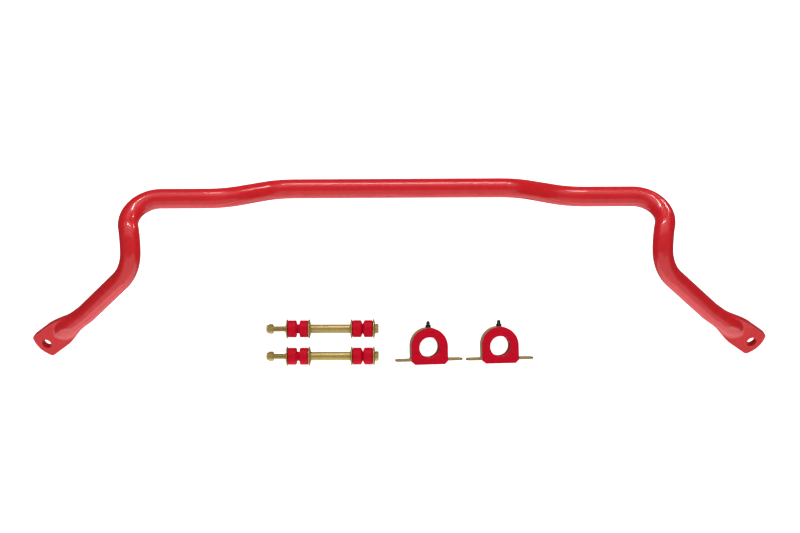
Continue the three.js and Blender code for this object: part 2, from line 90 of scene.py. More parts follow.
# The round bar's nose as it sinks into the flat, in millimetres: station, half width, half height.
NOSE = [
    (-68, 16, 16),
    (-62, 16.8, 15.4),
    (-54, 18.4, 13.8),
    (-45, 18.2, 11.6),
    (-35, 15.2, 9.0),
    (-30, 11.5, 7.3),
    (-26, 5, 5.6),
    (-23, 2, 4.0),
]
# How far the nose and the flat melt into each other, and the length over which that begins.
NOSE_BLEND = 1.6 * MM
NOSE_BLEND_RUN = 14 * MM
# A section's outline is found along this many rays, by halving each this often. Its points are
# spread over its length, where each radian that it turns counts as this much more.
SECTION_RAYS = 400
SECTION_HALVINGS = 40
SECTION_TURN_LENGTH = 6 * MM
EYE_RADIUS = 8 * MM
EYE_CHAMFER = 0.7 * MM

ROUND_SIDES = 72
THREAD_PITCH = 25.4 / 16 * MM
THREAD_DEPTH = 0.9 * MM
THREAD_LENGTH = 52 * MM
THREAD_STEPS = 8
THREAD_CREST = 1.25  # above 1, this flattens the crests
THREAD_RUN_OUT = 2 * MM
BOLT_RADIUS = 4.76 * MM
BOLT_HEAD_HEIGHT = 5.6 * MM
BOLT_FACE_HEIGHT = 0.4 * MM
HEX_ACROSS_FLATS = 14.29 * MM
HEX_CHAMFER = math.radians(30)
# Degrees from a corner of the hexagon up: the bolt's head, then the nut.
HEX_TURNS = {1: (18, 30), 2: (18, 24)}
NUT_HEX_HEIGHT = 8.4 * MM
NUT_INSERT_SEAT = 7.6 * MM

WASHER_RADIUS = 16 * MM
WASHER_FLAT_RADIUS = 10.5 * MM
WASHER_SHEET = 1.8 * MM
WASHER_CUP = 1.4 * MM
LINK_BORE_RADIUS = 5.2 * MM
LINK_BUSHING_RADIUS = 14.2 * MM
LINK_BUSHING_LENGTH = 18.4 * MM
NIPPLE_RADIUS = 7.9 * MM
NIPPLE_LENGTH = 2.8 * MM
SLEEVE_RADIUS = 7.2 * MM

SET_LEAN = {1: math.radians(6), 2: math.radians(3)}
FRAME_BORE_RADIUS = 17 * MM
FLANGE_RADIUS = 30.3 * MM
ARCH_RISE = 2 * MM
FRAME_BUSHING_LENGTH = 38 * MM
FRAME_BUSHING_BOTTOM = -27.8 * MM
BOTTOM_CHAMFER = 5.5 * MM
GROOVE_STEPS = 24
GROOVE_DEPTH = 0.15 * MM
STRAP_WIDTH = 32 * MM
STRAP_THICKNESS = 3 * MM
STRAP_BEND_RADIUS = 3 * MM
STRAP_EDGE_RADIUS = 0.45 * MM
SPLIT_WIDTH = 0.08 * MM
TAB_TOP = -19.3 * MM
TAB_REACH = 56 * MM
TAB_CORNER_RADIUS = 11 * MM
TAB_SLOT_RADIUS = 5.2 * MM
TAB_SLOT_HALF_LENGTH = 3 * MM
TAB_SLOT_X = 43 * MM
FITTING_SEAT = 32.5 * MM
FITTING_HOLE_RADIUS = 3.3 * MM
FITTING_HEX_HEIGHT = 4.2 * MM
FITTING_HEX_APOTHEM = 4 * MM
FITTING_LAND_RADIUS = 3.75 * MM
# Height above the seat and radius, in millimetres: from the passage round the shank's end to the
# seat, then from the hexagon's top over the head and into the mouth.
FITTING_SHANK = [
    (7.0, 1.5), (-4.2, 1.5), (-4.2, 0.8), (-5, 0.8), (-5, 2.5), (-4.5, 3.1), (0, 3.1), (0, 3.75),
]
FITTING_HEAD = [
    (4.25, 3.4), (4.6, 3.05), (5.0, 2.9), (5.7, 2.9), (6.1, 3.0), (6.55, 3.25), (6.9, 3.3),
    (7.3, 3.25), (8.2, 2.95), (9.2, 2.6), (9.9, 2.35), (10.35, 2.0), (10.6, 1.6), (10.6, 0.9),
    (10.4, 0.8), (9.1, 0.8), (8.5, 1.5),
]
GREASE_HOLE_RADIUS = 3.6 * MM
BALL_HEIGHT = 8 * MM
BALL_RADIUS = 1.25 * MM
SPRING_TURNS = 4
SPRING_RADIUS = 0.95 * MM
SPRING_WIRE_RADIUS = 0.2 * MM
SPRING_BOTTOM = -3.8 * MM
SPRING_TOP = 6.35 * MM

# ---- Looks --------------------------------------------------------------------------------------

TABLE_HALF_SIZE = 12.0
TABLE_GLOW = 1.05
ROOM_LIGHT = [(-0.96, 0.7), (-0.88, 0.08), (0.1, 0.08), (0.5, 0.25), (1.0, 0.25)]
# Name, place, size and radiance of each light.
SOFTBOXES = [
    ("strip_behind", (-0.05, 2.2, 1.25), (1.3, 0.15), 36),
    ("panel_behind", (0, 2.6, 2.4), (6, 2.6), 0.9),
    ("panel_front", (0, -2.3, 1.9), (8, 2.4), 0.9),
    ("low_front", (0, -2.7, 0.1), (8, 1.1), 2.0),
    ("bounce_front", (0, -2.3, -1.4), (8, 2.0), 1.1),
    ("window", (1.6, 2.1, 0.09), (0.5, 0.3), 24),
]
LIGHTS_AIM = Vector((0, 0, 0.05))
CAMERA_AIM = Vector((5.0 * MM, 9.4 * MM, 16 * MM))
CAMERA_DISTANCE = 1854 * MM
CAMERA_SWING = 0.0175
CAMERA_ROLL = -0.004


# ---- Outlines -----------------------------------------------------------------------------------

def rounded(corners, steps=4):
    """A closed outline of (x, y, radius) corners, each turned into an arc of its own radius."""
    outline = []
    count = len(corners)
    for i, (x, y, radius) in enumerate(corners):
        corner = Vector((x, y))
        incoming = (corner - Vector(corners[i - 1][:2])).normalized()
        outgoing = (Vector(corners[(i + 1) % count][:2]) - corner).normalized()
        turn = incoming.angle_signed(outgoing, 0)
        centre = corner + (outgoing - incoming).normalized() * radius / math.cos(turn / 2)
        spoke = corner - incoming * radius * math.tan(abs(turn) / 2) - centre
        for step in range(steps + 1):
            outline.append(centre + Matrix.Rotation(-turn * step / steps, 2) @ spoke)
    return outline


def smooth_step(x, start, end):
    t = min(max((x - start) / (end - start), 0), 1)
    return t * t * (3 - 2 * t)


# ---- Meshes -------------------------------------------------------------------------------------

def loft(loops, ends="capped"):
    """Vertices and faces through loops of equal length. ends is capped, joined or open."""
    count = len(loops[0])
    rows = len(loops)
    vertices = [point for loop in loops for point in loop]
    faces = []
    for row in range(rows if ends == "joined" else rows - 1):
        here = row * count
        there = (row + 1) % rows * count
        for i in range(count):
            j = (i + 1) % count
            faces.append((here + i, here + j, there + j, there + i))
    if ends == "capped":
        faces.append(tuple(reversed(range(count))))
        faces.append(tuple(range((rows - 1) * count, rows * count)))
    return vertices, faces


def circle(x, radius, sides=ROUND_SIDES):
    """A loop round the X axis; radius may be a function of the angle."""
    loop = []
    for i in range(sides):
        angle = 2 * math.pi * i / sides
        r = radius(angle) if callable(radius) else radius
        loop.append(Vector((x, r * math.cos(angle), r * math.sin(angle))))
    return loop


def revolved(outline):
    """A ring round the X axis from a closed outline of (x, radius) points."""
    return loft([circle(x, r) for x, r in outline], ends="joined")


def mesh_object(name, vertices, faces, crease=32):
    mesh = bpy.data.meshes.new(name)
    mesh.from_pydata([tuple(v) for v in vertices], [], faces)
    work = bmesh.new()
    work.from_mesh(mesh)
    bmesh.ops.remove_doubles(work, verts=work.verts, dist=MERGE_DISTANCE)
    bmesh.ops.recalc_face_normals(work, faces=work.faces)
    if work.calc_volume(signed=True) < 0:
        bmesh.ops.reverse_faces(work, faces=work.faces)
    work.to_mesh(mesh)
    work.free()
    mesh.shade_smooth()
    mesh.set_sharp_from_angle(angle=math.radians(crease))
    piece = bpy.data.objects.new(name, mesh)
    bpy.context.scene.collection.objects.link(piece)
    return piece


def apply_modifiers(piece):
    graph = bpy.context.evaluated_depsgraph_get()
    final = bpy.data.meshes.new_from_object(piece.evaluated_get(graph))
    piece.modifiers.clear()
    piece.data = final


def cut(piece, tool, operation="DIFFERENCE", solver="EXACT"):
    """Cuts piece with tool, welds the points that then coincide, and removes the tool."""
    boolean = piece.modifiers.new("cut", "BOOLEAN")
    boolean.operation = operation
    boolean.solver = solver
    boolean.object = tool
    apply_modifiers(piece)
    work = bmesh.new()
    work.from_mesh(piece.data)
    bmesh.ops.remove_doubles(work, verts=work.verts, dist=WELD_DISTANCE)
    work.to_mesh(piece.data)
    work.free()
    bpy.data.objects.remove(tool)


def round_edges(piece, width, angle=40):
    """Rounds the edges of piece that turn by more than angle."""
    bevel = piece.modifiers.new("bevel", "BEVEL")
    bevel.width = width
    bevel.segments = 3
    bevel.limit_method = "ANGLE"
    bevel.angle_limit = math.radians(angle)
    bevel.harden_normals = False
    apply_modifiers(piece)


def shaded(piece, crease):
    """Smooth shading again after cuts, with edges sharper than crease left sharp."""
    piece.data.shade_smooth()
    piece.data.set_sharp_from_angle(angle=math.radians(crease))
    return piece


def moved(piece, matrix):
    piece.data.transform(matrix)
    if matrix.determinant() < 0:
        piece.data.flip_normals()
    return piece


# ---- Materials ----------------------------------------------------------------------------------

def ramp_node(nodes, stops):
    """A colour ramp of (place, colour) stops."""
    ramp = nodes.new("ShaderNodeValToRGB")
    elements = ramp.color_ramp.elements
    while len(elements) < len(stops):
        elements.new(0.5)
    for element, (place, colour) in zip(elements, stops):
        element.position = place
        element.color = (*colour, 1)
    return ramp


class Finish:
    """A Principled material with colour, roughness and bump from noise in the object's space."""

    def __init__(self, name, **uniform):
        self.material = bpy.data.materials.new(name)
        self.material.use_nodes = True
        self.nodes = self.material.node_tree.nodes
        self.links = self.material.node_tree.links
        self.shader = self.nodes["Principled BSDF"]
        for socket, value in uniform.items():
            self.shader.inputs[socket.replace("_", " ")].default_value = value
        self.place = self.nodes.new("ShaderNodeTexCoord").outputs["Object"]

    def noise(self, size, detail=2):
        """Noise whose features are about size across."""
        texture = self.nodes.new("ShaderNodeTexNoise")
        texture.inputs["Scale"].default_value = 1 / size
        texture.inputs["Detail"].default_value = detail
        self.links.new(self.place, texture.inputs["Vector"])
        return texture.outputs["Fac"]

    def colour(self, factor, stops):
        ramp = ramp_node(self.nodes, stops)
        self.links.new(factor, ramp.inputs["Fac"])
        self.links.new(ramp.outputs["Color"], self.shader.inputs["Base Color"])

    def roughness(self, factor, low, high):
        span = self.nodes.new("ShaderNodeMapRange")
        span.inputs["To Min"].default_value = low
        span.inputs["To Max"].default_value = high
        self.links.new(factor, span.inputs["Value"])
        self.links.new(span.outputs["Result"], self.shader.inputs["Roughness"])

    def bump(self, factor, height):
        bump = self.nodes.new("ShaderNodeBump")
        bump.inputs["Distance"].default_value = height
        self.links.new(factor, bump.inputs["Height"])
        self.links.new(bump.outputs["Normal"], self.shader.inputs["Normal"])


def red_powder_coat():
    coat = {"Coat_Weight": 0.5, "Coat_Roughness": 0.05}
    finish = Finish("red_powder_coat", Specular_IOR_Level=0.25, **coat)
    finish.colour(finish.noise(9 * MM, 3), [
        (0.3, (0.70, 0.011, 0.017)),
        (0.7, (0.79, 0.015, 0.022)),
    ])
    finish.roughness(finish.noise(3 * MM), 0.3, 0.36)
    finish.bump(finish.noise(1.6 * MM, 1), 0.01 * MM)
    return finish.material


def red_urethane():
    finish = Finish("red_urethane", Specular_IOR_Level=0.12)
    finish.colour(finish.noise(5 * MM, 4), [
        (0.3, (0.62, 0.0005, 0.018)),
        (0.7, (0.72, 0.001, 0.024)),
    ])
    finish.roughness(finish.noise(2 * MM, 3), 0.5, 0.66)
    finish.bump(finish.noise(0.7 * MM, 3), 0.02 * MM)
    return finish.material


def yellow_zinc():
    finish = Finish("yellow_zinc", Metallic=0.55)
    finish.colour(finish.noise(6 * MM, 3), [
        (0.3, (0.44, 0.345, 0.095)),
        (0.45, (0.50, 0.37, 0.115)),
        (0.6, (0.55, 0.39, 0.145)),
        (0.75, (0.46, 0.355, 0.10)),
    ])
    finish.roughness(finish.noise(1.5 * MM, 3), 0.4, 0.48)
    finish.bump(finish.noise(0.5 * MM, 2), 0.004 * MM)
    return finish.material


def dark_fitting():
    finish = Finish("dark_fitting", Metallic=0.9)
    finish.colour(finish.noise(2 * MM, 2), [
        (0.3, (0.035, 0.042, 0.038)),
        (0.7, (0.075, 0.085, 0.078)),
    ])
    finish.roughness(finish.noise(1 * MM, 2), 0.28, 0.45)
    finish.bump(finish.noise(0.3 * MM, 2), 0.01 * MM)
    return finish.material


def bright_steel():
    finish = Finish("bright_steel", Metallic=1.0)
    finish.colour(finish.noise(0.6 * MM, 1), [(0.3, (0.62, 0.62, 0.62)), (0.7, (0.74, 0.74, 0.75))])
    finish.roughness(finish.noise(0.4 * MM, 1), 0.14, 0.24)
    return finish.material


def nylon():
    finish = Finish("nylon")
    finish.colour(finish.noise(2 * MM, 2), [(0.3, (0.66, 0.63, 0.54)), (0.7, (0.74, 0.71, 0.62))])
    finish.roughness(finish.noise(1 * MM, 2), 0.4, 0.55)
    finish.bump(finish.noise(0.4 * MM, 2), 0.01 * MM)
    return finish.material


FINISHES = {
    "bar_paint": red_powder_coat(),
    "red_urethane": red_urethane(),
    "yellow_zinc": yellow_zinc(),
    "dark_fitting": dark_fitting(),
    "bright_steel": bright_steel(),
    "nylon": nylon(),
}


def body_of_node(node):
    bodies = frame["record"]["behaviour"]["bodies"]
    return next(body for body, nodes in bodies.items() if node in nodes)


def slot_of_node(node):
    subparts = frame["record"]["subparts"]
    return next(part["material_slot"] for part in subparts if part["node"] == node)


def stands_for(piece, node):
    """piece takes the place of a CAD node: its body, its slot and its finish."""
    slot = slot_of_node(node)
    piece.data.materials.clear()
    piece.data.materials.append(FINISHES[slot])
    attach(piece, body_of_node(node))
    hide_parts(node)


# ---- Sway bar -----------------------------------------------------------------------------------

def bar_point(x, y, z):
    """A point given in millimetres from the centre section's axis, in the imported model's frame."""
    axis_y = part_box("sway_bar")[1].y - BAR_RADIUS
    return Vector((x * MM, axis_y + y * MM, z * MM))


def bend(before, corner, after, radius):
    """Centre line points and directions round one bend."""
    incoming = (corner - before).normalized()
    outgoing = (after - corner).normalized()
    turn = incoming.angle(outgoing)
    centre = corner + (outgoing - incoming).normalized() * radius / math.cos(turn / 2)
    axis = incoming.cross(outgoing)
    spoke = corner - incoming * radius * math.tan(turn / 2) - centre
    stations = []
    for step in range(BEND_STEPS + 1):
        rotation = Matrix.Rotation(turn * step / BEND_STEPS, 3, axis)
        stations.append((centre + rotation @ spoke, rotation @ incoming))
    return stations


def bar_stations(end):
    """Points and directions along the centre line, from the middle of the bar to end."""
    corners = [bar_point(*at) for at, _ in BAR_CORNERS]
    points = [bar_point(0, 0, BAR_RADIUS / MM), *corners, end]
    stations = [(points[0], Vector((1, 0, 0)))]
    for i, (_, radius) in enumerate(BAR_CORNERS):
        stations += bend(points[i], points[i + 1], points[i + 2], radius * MM)
    return stations


def carried_backwards(stations, last_across):
    """A direction square to the line at each station, turning no more than the line makes it."""
    across = last_across
    directions = []
    for _, tangent in reversed(stations):
        across = (across - tangent * across.dot(tangent)).normalized()
        directions.append(across)
    return directions[::-1]


def flat_half_width(s):
    """Half width of the flat at station s, the distance along it from the eye's centre."""
    flare = smooth_step(s, FLARE_START, FLARE_END)
    width = FLAT_ROOT_HALF_WIDTH + (FLAT_HALF_WIDTH - FLAT_ROOT_HALF_WIDTH) * flare
    into_corner = max(0, s - (FLAT_END - FLAT_CORNER_RADIUS))
    return width - FLAT_CORNER_RADIUS + math.sqrt(FLAT_CORNER_RADIUS**2 - into_corner**2)


def nose_half_sizes(s):
    stations = [n[0] * MM for n in NOSE]
    width = np.interp(s, stations, [n[1] * MM for n in NOSE])
    height = np.interp(s, stations, [n[2] * MM for n in NOSE])
    return width, height


def outside_distance(y, z, s, inset):
    """About how far (y, z) is outside the forged end's section at station s."""
    half_width = flat_half_width(min(s, FLAT_END))
    corner = FLAT_EDGE_RADIUS
    dy = np.abs(y) - (half_width - inset - corner)
    dz = np.abs(z) - (FLAT_HALF_THICKNESS - inset - corner)
    outside = np.hypot(np.maximum(dy, 0), np.maximum(dz, 0))
    flat = outside + np.minimum(np.maximum(dy, dz), 0) - corner
    if s > NOSE[-1][0] * MM:
        return flat
    nose_width, nose_height = nose_half_sizes(s)
    nose = (np.hypot(y / nose_width, z / nose_height) - 1) * min(nose_width, nose_height)
    blend = NOSE_BLEND * smooth_step(s, FLARE_START, FLARE_START + NOSE_BLEND_RUN) + 1e-6
    h = np.clip(0.5 + 0.5 * (flat - nose) / blend, 0, 1)
    return flat * (1 - h) + nose * h - blend * h * (1 - h)


def section(s, inset=0.0):
    """The forged end's outline at station s as BAR_SIDES points, closest where it turns most."""
    angles = np.linspace(0, math.pi / 2, SECTION_RAYS)
    low = np.zeros_like(angles)
    high = np.full_like(angles, 2 * FLAT_HALF_WIDTH)
    for _ in range(SECTION_HALVINGS):
        middle = (low + high) / 2
        inside = outside_distance(middle * np.cos(angles), middle * np.sin(angles), s, inset) < 0
        low = np.where(inside, middle, low)
        high = np.where(inside, high, middle)
    y = low * np.cos(angles)
    z = low * np.sin(angles)
    heading = np.unwrap(np.arctan2(np.diff(z), np.diff(y)))
    turning = np.abs(np.diff(heading, prepend=heading[0])) * SECTION_TURN_LENGTH
    measure = np.concatenate([[0], np.cumsum(np.hypot(np.diff(y), np.diff(z)) + turning)])
    quarter = BAR_SIDES // 4
    wanted = np.linspace(0, measure[-1], quarter + 1)
    y = np.interp(wanted, measure, y)
    z = np.interp(wanted, measure, z)
    first = list(zip(y, z))[:quarter]
    second = [(-a, b) for a, b in zip(y[:0:-1], z[:0:-1])]
    upper = first + second
    return upper + [(-a, -b) for a, b in upper]


def forged_loops(centre, outwards, across, normal):
    """The forged end's loops, from the round bar to the flat's rounded edge."""
    rings = [(s, 0.0) for s in np.arange(FLARE_START, FLAT_END - FLAT_EDGE_RADIUS, FLARE_STEP)]
    for step in range(EDGE_STEPS + 1):
        angle = math.pi / 2 * step / EDGE_STEPS
        s = FLAT_END - FLAT_EDGE_RADIUS * (1 - math.sin(angle))
        rings.append((s, FLAT_EDGE_RADIUS * (1 - math.cos(angle))))
    loops = []
    for s, inset in rings:
        bowing = smooth_step(s, FLARE_END, FLAT_END)
        loop = []
        for y, z in section(s, inset):
            bow = FLAT_BOW * (1 - min(1, (y / FLAT_HALF_WIDTH) ** 2)) * bowing
            loop.append(centre + outwards * (s + bow) + across * y + normal * z)
        loops.append(loop)
    return loops


def eye_cutter(centre, across, normal, outwards):
    """A spool along the eye's axis, flared at both faces of the flat to break the hole's edges."""
    face = FLAT_HALF_THICKNESS
    reach = 3 * face
    flare = EYE_RADIUS + EYE_CHAMFER + reach - face
    outline = [
        (-reach, flare),
        (-face + EYE_CHAMFER, EYE_RADIUS),
        (face - EYE_CHAMFER, EYE_RADIUS),
        (reach, flare),
    ]
    tool = mesh_object("eye_cutter", *loft([circle(x, r) for x, r in outline]))
    basis = Matrix((normal, across, outwards)).transposed().to_4x4()
    return moved(tool, Matrix.Translation(centre) @ basis)


def end_cap(loops):
    """Strips across the last loop, between facing points, and a face along each straight side."""
    last = (len(loops) - 1) * BAR_SIDES
    points = loops[-1]
    upright = (points[1] - points[-1]).normalized()
    straight = 1
    while (points[straight + 1] - points[0]).cross(upright).length < WELD_DISTANCE:
        straight += 1
    half = BAR_SIDES // 2
    first = straight + 1
    faces = [range(-first, first + 1), range(half - first, half + first + 1)]
    faces += [(i, i + 1, -i - 1, -i) for i in range(first, half - first)]
    return [tuple(last + i % BAR_SIDES for i in face) for face in faces]


def sway_bar():
    """The right half from the middle to the flat's end, its mirror image, and the two eyes."""
    centre = bar_point(*EYE_CENTRE)
    last_corner = bar_point(*BAR_CORNERS[-1][0])
    outwards = (centre - last_corner).normalized()
    across = FLAT_NORMAL.cross(outwards).normalized()
    normal = outwards.cross(across)
    stations = bar_stations(centre + outwards * FLARE_START)
    loops = []
    for (point, tangent), side in zip(stations, carried_backwards(stations, across)):
        up = tangent.cross(side)
        loop = []
        for i in range(BAR_SIDES):
            angle = 2 * math.pi * i / BAR_SIDES
            loop.append(point + BAR_RADIUS * (side * math.cos(angle) + up * math.sin(angle)))
        loops.append(loop)
    loops += forged_loops(centre, outwards, across, normal)
    vertices, faces = loft(loops, ends="open")
    faces += end_cap(loops)
    count = len(vertices)
    mirrored = [Vector((-v.x, v.y, v.z)) for v in vertices]
    faces += [tuple(count + i for i in reversed(face)) for face in faces]
    piece = mesh_object("painted_sway_bar", vertices + mirrored, faces)
    cut(piece, eye_cutter(centre, across, normal, outwards))
    flip = Vector((-1, 1, 1))
    cut(piece, eye_cutter(centre * flip, across * flip, normal * flip, outwards * flip))
    stands_for(shaded(piece, 38), "sway_bar")


# ---- End links ----------------------------------------------------------------------------------

def hexagon(turn):
    """Radius of the hexagon at an angle round X, with a corner at turn from the upright."""
    apothem = HEX_ACROSS_FLATS / 2

    def radius(angle):
        from_flat = (angle - math.radians(90 + turn)) % (math.pi / 3) - math.pi / 6
        return apothem / math.cos(from_flat)

    return radius


def hex_and_chamfer(x, direction, turn, circle_radius):
    """The loops of a hexagon's chamfered face at x: the round land, then the edge of the flats."""
    radius = hexagon(turn)
    land = circle(x, circle_radius)
    edge = []
    for i in range(ROUND_SIDES):
        angle = 2 * math.pi * i / ROUND_SIDES
        r = radius(angle)
        back = max(0, r - circle_radius) * math.tan(HEX_CHAMFER) * direction
        edge.append(Vector((x - back, r * math.cos(angle), r * math.sin(angle))))
    return land, edge


def thread_radius(x):
    """The thread's radius at a distance along the bolt, as a function of the angle."""
    def radius(angle):
        phase = (x / THREAD_PITCH - angle / (2 * math.pi)) % 1
        ridge = min(1, THREAD_CREST * (1 - abs(2 * phase - 1)))
        return BOLT_RADIUS - THREAD_DEPTH * (1 - ridge)

    return radius


def bolt(node, turn):
    """Head, shank and cut thread, from the head's top at high X to the tip at low X."""
    low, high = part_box(node)
    seat = high.x - BOLT_HEAD_HEIGHT
    axis = (low + high) / 2
    tip = low.x - seat
    thread_end = tip + THREAD_LENGTH
    face_radius = HEX_ACROSS_FLATS / 2 - 0.3 * MM
    land, edge = hex_and_chamfer(BOLT_HEAD_HEIGHT, 1, turn, HEX_ACROSS_FLATS / 2 - 0.35 * MM)
    loops = [circle(BOLT_HEAD_HEIGHT, 2.4 * MM), land, edge]
    loops += [circle(x, r) for x, r in [
        (BOLT_FACE_HEIGHT, hexagon(turn)),
        (BOLT_FACE_HEIGHT, face_radius),
        (0.0, face_radius),
        (0.0, BOLT_RADIUS),
        (thread_end + 1 * MM, BOLT_RADIUS),
    ]]
    cut_length = THREAD_LENGTH - THREAD_RUN_OUT
    steps = round(cut_length / THREAD_PITCH * THREAD_STEPS)
    for step in range(steps + 1):
        x = thread_end - cut_length * step / steps
        loops.append(circle(x, thread_radius(x)))
    loops += [circle(x, r) for x, r in [
        (tip + 1.6 * MM, BOLT_RADIUS - THREAD_DEPTH),
        (tip + 0.3 * MM, BOLT_RADIUS - 1.3 * MM),
        (tip, BOLT_RADIUS - 1.7 * MM),
    ]]
    piece = mesh_object(node.replace("bolt", "threaded_bolt"), *loft(loops), crease=28)
    return moved(piece, Matrix.Translation((seat, axis.y, axis.z)))


def washer_outline():
    """A pressed cup from (x, radius) points: flat side at x = 0, rim towards low x."""
    flat = WASHER_FLAT_RADIUS
    return rounded([
        (0, LINK_BORE_RADIUS, 0.3 * MM),
        (0, flat, 2.2 * MM),
        (-WASHER_CUP, WASHER_RADIUS, 0.7 * MM),
        (-WASHER_CUP - WASHER_SHEET, WASHER_RADIUS, 0.7 * MM),
        (-WASHER_SHEET, flat - 0.8 * MM, 1 * MM),
        (-WASHER_SHEET, LINK_BORE_RADIUS, 0.3 * MM),
    ])


def bushing_outline(sloping):
    """A link bushing, flat at x = 0, nipple towards low x, its shoulder sloping or square."""
    body = LINK_BUSHING_LENGTH - NIPPLE_LENGTH
    shoulder = [
        (-body, LINK_BUSHING_RADIUS, 1.2 * MM),
        (-LINK_BUSHING_LENGTH, NIPPLE_RADIUS, 0.5 * MM),
    ] if sloping else [
        (-body + 0.6 * MM, LINK_BUSHING_RADIUS, 0.8 * MM),
        (-body, LINK_BUSHING_RADIUS - 1.2 * MM, 0.6 * MM),
        (-body, NIPPLE_RADIUS, 0.4 * MM),
        (-LINK_BUSHING_LENGTH, NIPPLE_RADIUS - 0.2 * MM, 0.4 * MM),
    ]
    return rounded([
        (0, LINK_BORE_RADIUS, 0.3 * MM),
        (0, WASHER_FLAT_RADIUS - 1.2 * MM, 0.8 * MM),
        (-WASHER_CUP - 1.2 * MM, LINK_BUSHING_RADIUS, 0.9 * MM),
        *shoulder,
        (-LINK_BUSHING_LENGTH, LINK_BORE_RADIUS, 0.4 * MM),
    ])


def sleeve_outline(length):
    return rounded([
        (0, LINK_BORE_RADIUS, 0.3 * MM),
        (0, SLEEVE_RADIUS, 0.5 * MM),
        (-length, SLEEVE_RADIUS, 0.5 * MM),
        (-length, LINK_BORE_RADIUS, 0.3 * MM),
    ])


def ring_piece(node, outline, word, turned=False):
    """A ring on the link's axis from an outline that starts at x = 0 and runs to low x."""
    low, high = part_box(node)
    axis = (low + high) / 2
    piece = mesh_object(f"{word}_{node}", *revolved(outline))
    scale = Matrix.Scale(-1, 4, (1, 0, 0)) if turned else Matrix.Identity(4)
    return moved(piece, Matrix.Translation((low.x if turned else high.x, axis.y, axis.z)) @ scale)


def lock_nut(node, turn):
    """Chamfered hexagon from x = 0 to low x, then the round crown, closed over the insert."""
    low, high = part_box(node)
    axis = (low + high) / 2
    end = low.x - high.x
    bore = BOLT_RADIUS + 0.3 * MM
    crown = HEX_ACROSS_FLATS / 2 - 0.5 * MM
    recess = HEX_ACROSS_FLATS / 2 - 1.4 * MM
    land, edge = hex_and_chamfer(0, 1, turn, HEX_ACROSS_FLATS / 2 - 0.3 * MM)
    back_land, back_edge = hex_and_chamfer(-NUT_HEX_HEIGHT, -1, turn, crown)
    loops = [circle(-0.6 * MM, bore), circle(0, bore + 0.6 * MM), land, edge, back_edge, back_land]
    loops += [circle(x, r) for x, r in [
        (end + 1.6 * MM, crown),
        (end + 0.9 * MM, crown - 0.25 * MM),
        (end + 0.35 * MM, crown - 0.8 * MM),
        (end, crown - 1.7 * MM),
        (end + 0.2 * MM, bore + 0.3 * MM),
        (end + 0.8 * MM, bore + 0.1 * MM),
        (end + 0.8 * MM, recess),
        (-NUT_INSERT_SEAT, recess),
        (-NUT_INSERT_SEAT, bore),
    ]]
    piece = mesh_object(node.replace("nut", "lock_nut"), *loft(loops, ends="joined"), crease=28)
    return moved(piece, Matrix.Translation((high.x, axis.y, axis.z)))


def insert_outline(length):
    outer = HEX_ACROSS_FLATS / 2 - 1.6 * MM
    inner = BOLT_RADIUS + 0.15 * MM
    return rounded([
        (0, inner, 0.3 * MM),
        (0, outer, 0.3 * MM),
        (-length, outer, 0.3 * MM),
        (-length, inner, 0.3 * MM),
    ])


def end_link(number):
    """The strung pieces in order along the bolt; turned ones face the other way."""
    prefix = f"end_link_{number}_"
    head_turn, nut_turn = HEX_TURNS[number]
    stands_for(bolt(prefix + "bolt", head_turn), prefix + "bolt")
    for name, turned in [
        ("outer_eye_washer", False),
        ("inner_eye_washer", True),
        ("inner_arm_washer", False),
        ("outer_arm_washer", True),
    ]:
        stands_for(ring_piece(prefix + name, washer_outline(), "pressed", turned), prefix + name)
    for name, sloping, turned in [
        ("outer_eye_bushing", True, False),
        ("inner_eye_bushing", True, True),
        ("inner_arm_bushing", False, False),
        ("outer_arm_bushing", False, True),
    ]:
        outline = bushing_outline(sloping)
        stands_for(ring_piece(prefix + name, outline, "cast", turned), prefix + name)
    for name, outline_of, word in [
        ("sleeve", sleeve_outline, "plated"),
        ("nut_insert", insert_outline, "clear"),
    ]:
        low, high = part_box(prefix + name)
        outline = outline_of(high.x - low.x)
        stands_for(ring_piece(prefix + name, outline, word), prefix + name)
    stands_for(lock_nut(prefix + "nut", nut_turn), prefix + "nut")


# ---- Frame bushing sets -------------------------------------------------------------------------

def set_frame(number):
    """Where a set lies: origin at the middle of its bore, bore along Z, arch towards +Y."""
    joint = next(j for j in frame["joints"] if j["name"] == f"bracket_{number}_off")
    up = Vector(joint["axis"])
    low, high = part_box(f"check_ball_{number}")
    origin = (low + high) / 2 - up * (FITTING_SEAT + BALL_HEIGHT)
    turn = math.atan2(-up.x, up.y)
    rotation = Matrix.Rotation(turn, 4, "Z") @ Matrix.Rotation(SET_LEAN[number], 4, "Y")
    return Matrix.Translation(origin) @ rotation


def arch_loop(radius, z, inset=0.0):
    """The D outline, from one side of the split round to the other, at height z."""
    radius = radius - inset
    bottom = FRAME_BUSHING_BOTTOM + inset
    slit = SPLIT_WIDTH / 2
    foot = radius - BOTTOM_CHAMFER
    side_bottom = bottom + BOTTOM_CHAMFER
    loop = [(slit + (foot - slit) * i / 6, bottom) for i in range(7)]
    loop += [(foot + BOTTOM_CHAMFER * i / 4, bottom + BOTTOM_CHAMFER * i / 4) for i in range(1, 5)]
    loop += [(radius, side_bottom + (ARCH_RISE - side_bottom) * i / 6) for i in range(1, 6)]
    for i in range(25):
        angle = math.pi / 2 * i / 24
        loop.append((radius * math.cos(angle), ARCH_RISE + radius * math.sin(angle)))
    left = [(-x, y) for x, y in reversed(loop[:-1])]
    return [Vector((x, y, z)) for x, y in loop + left]


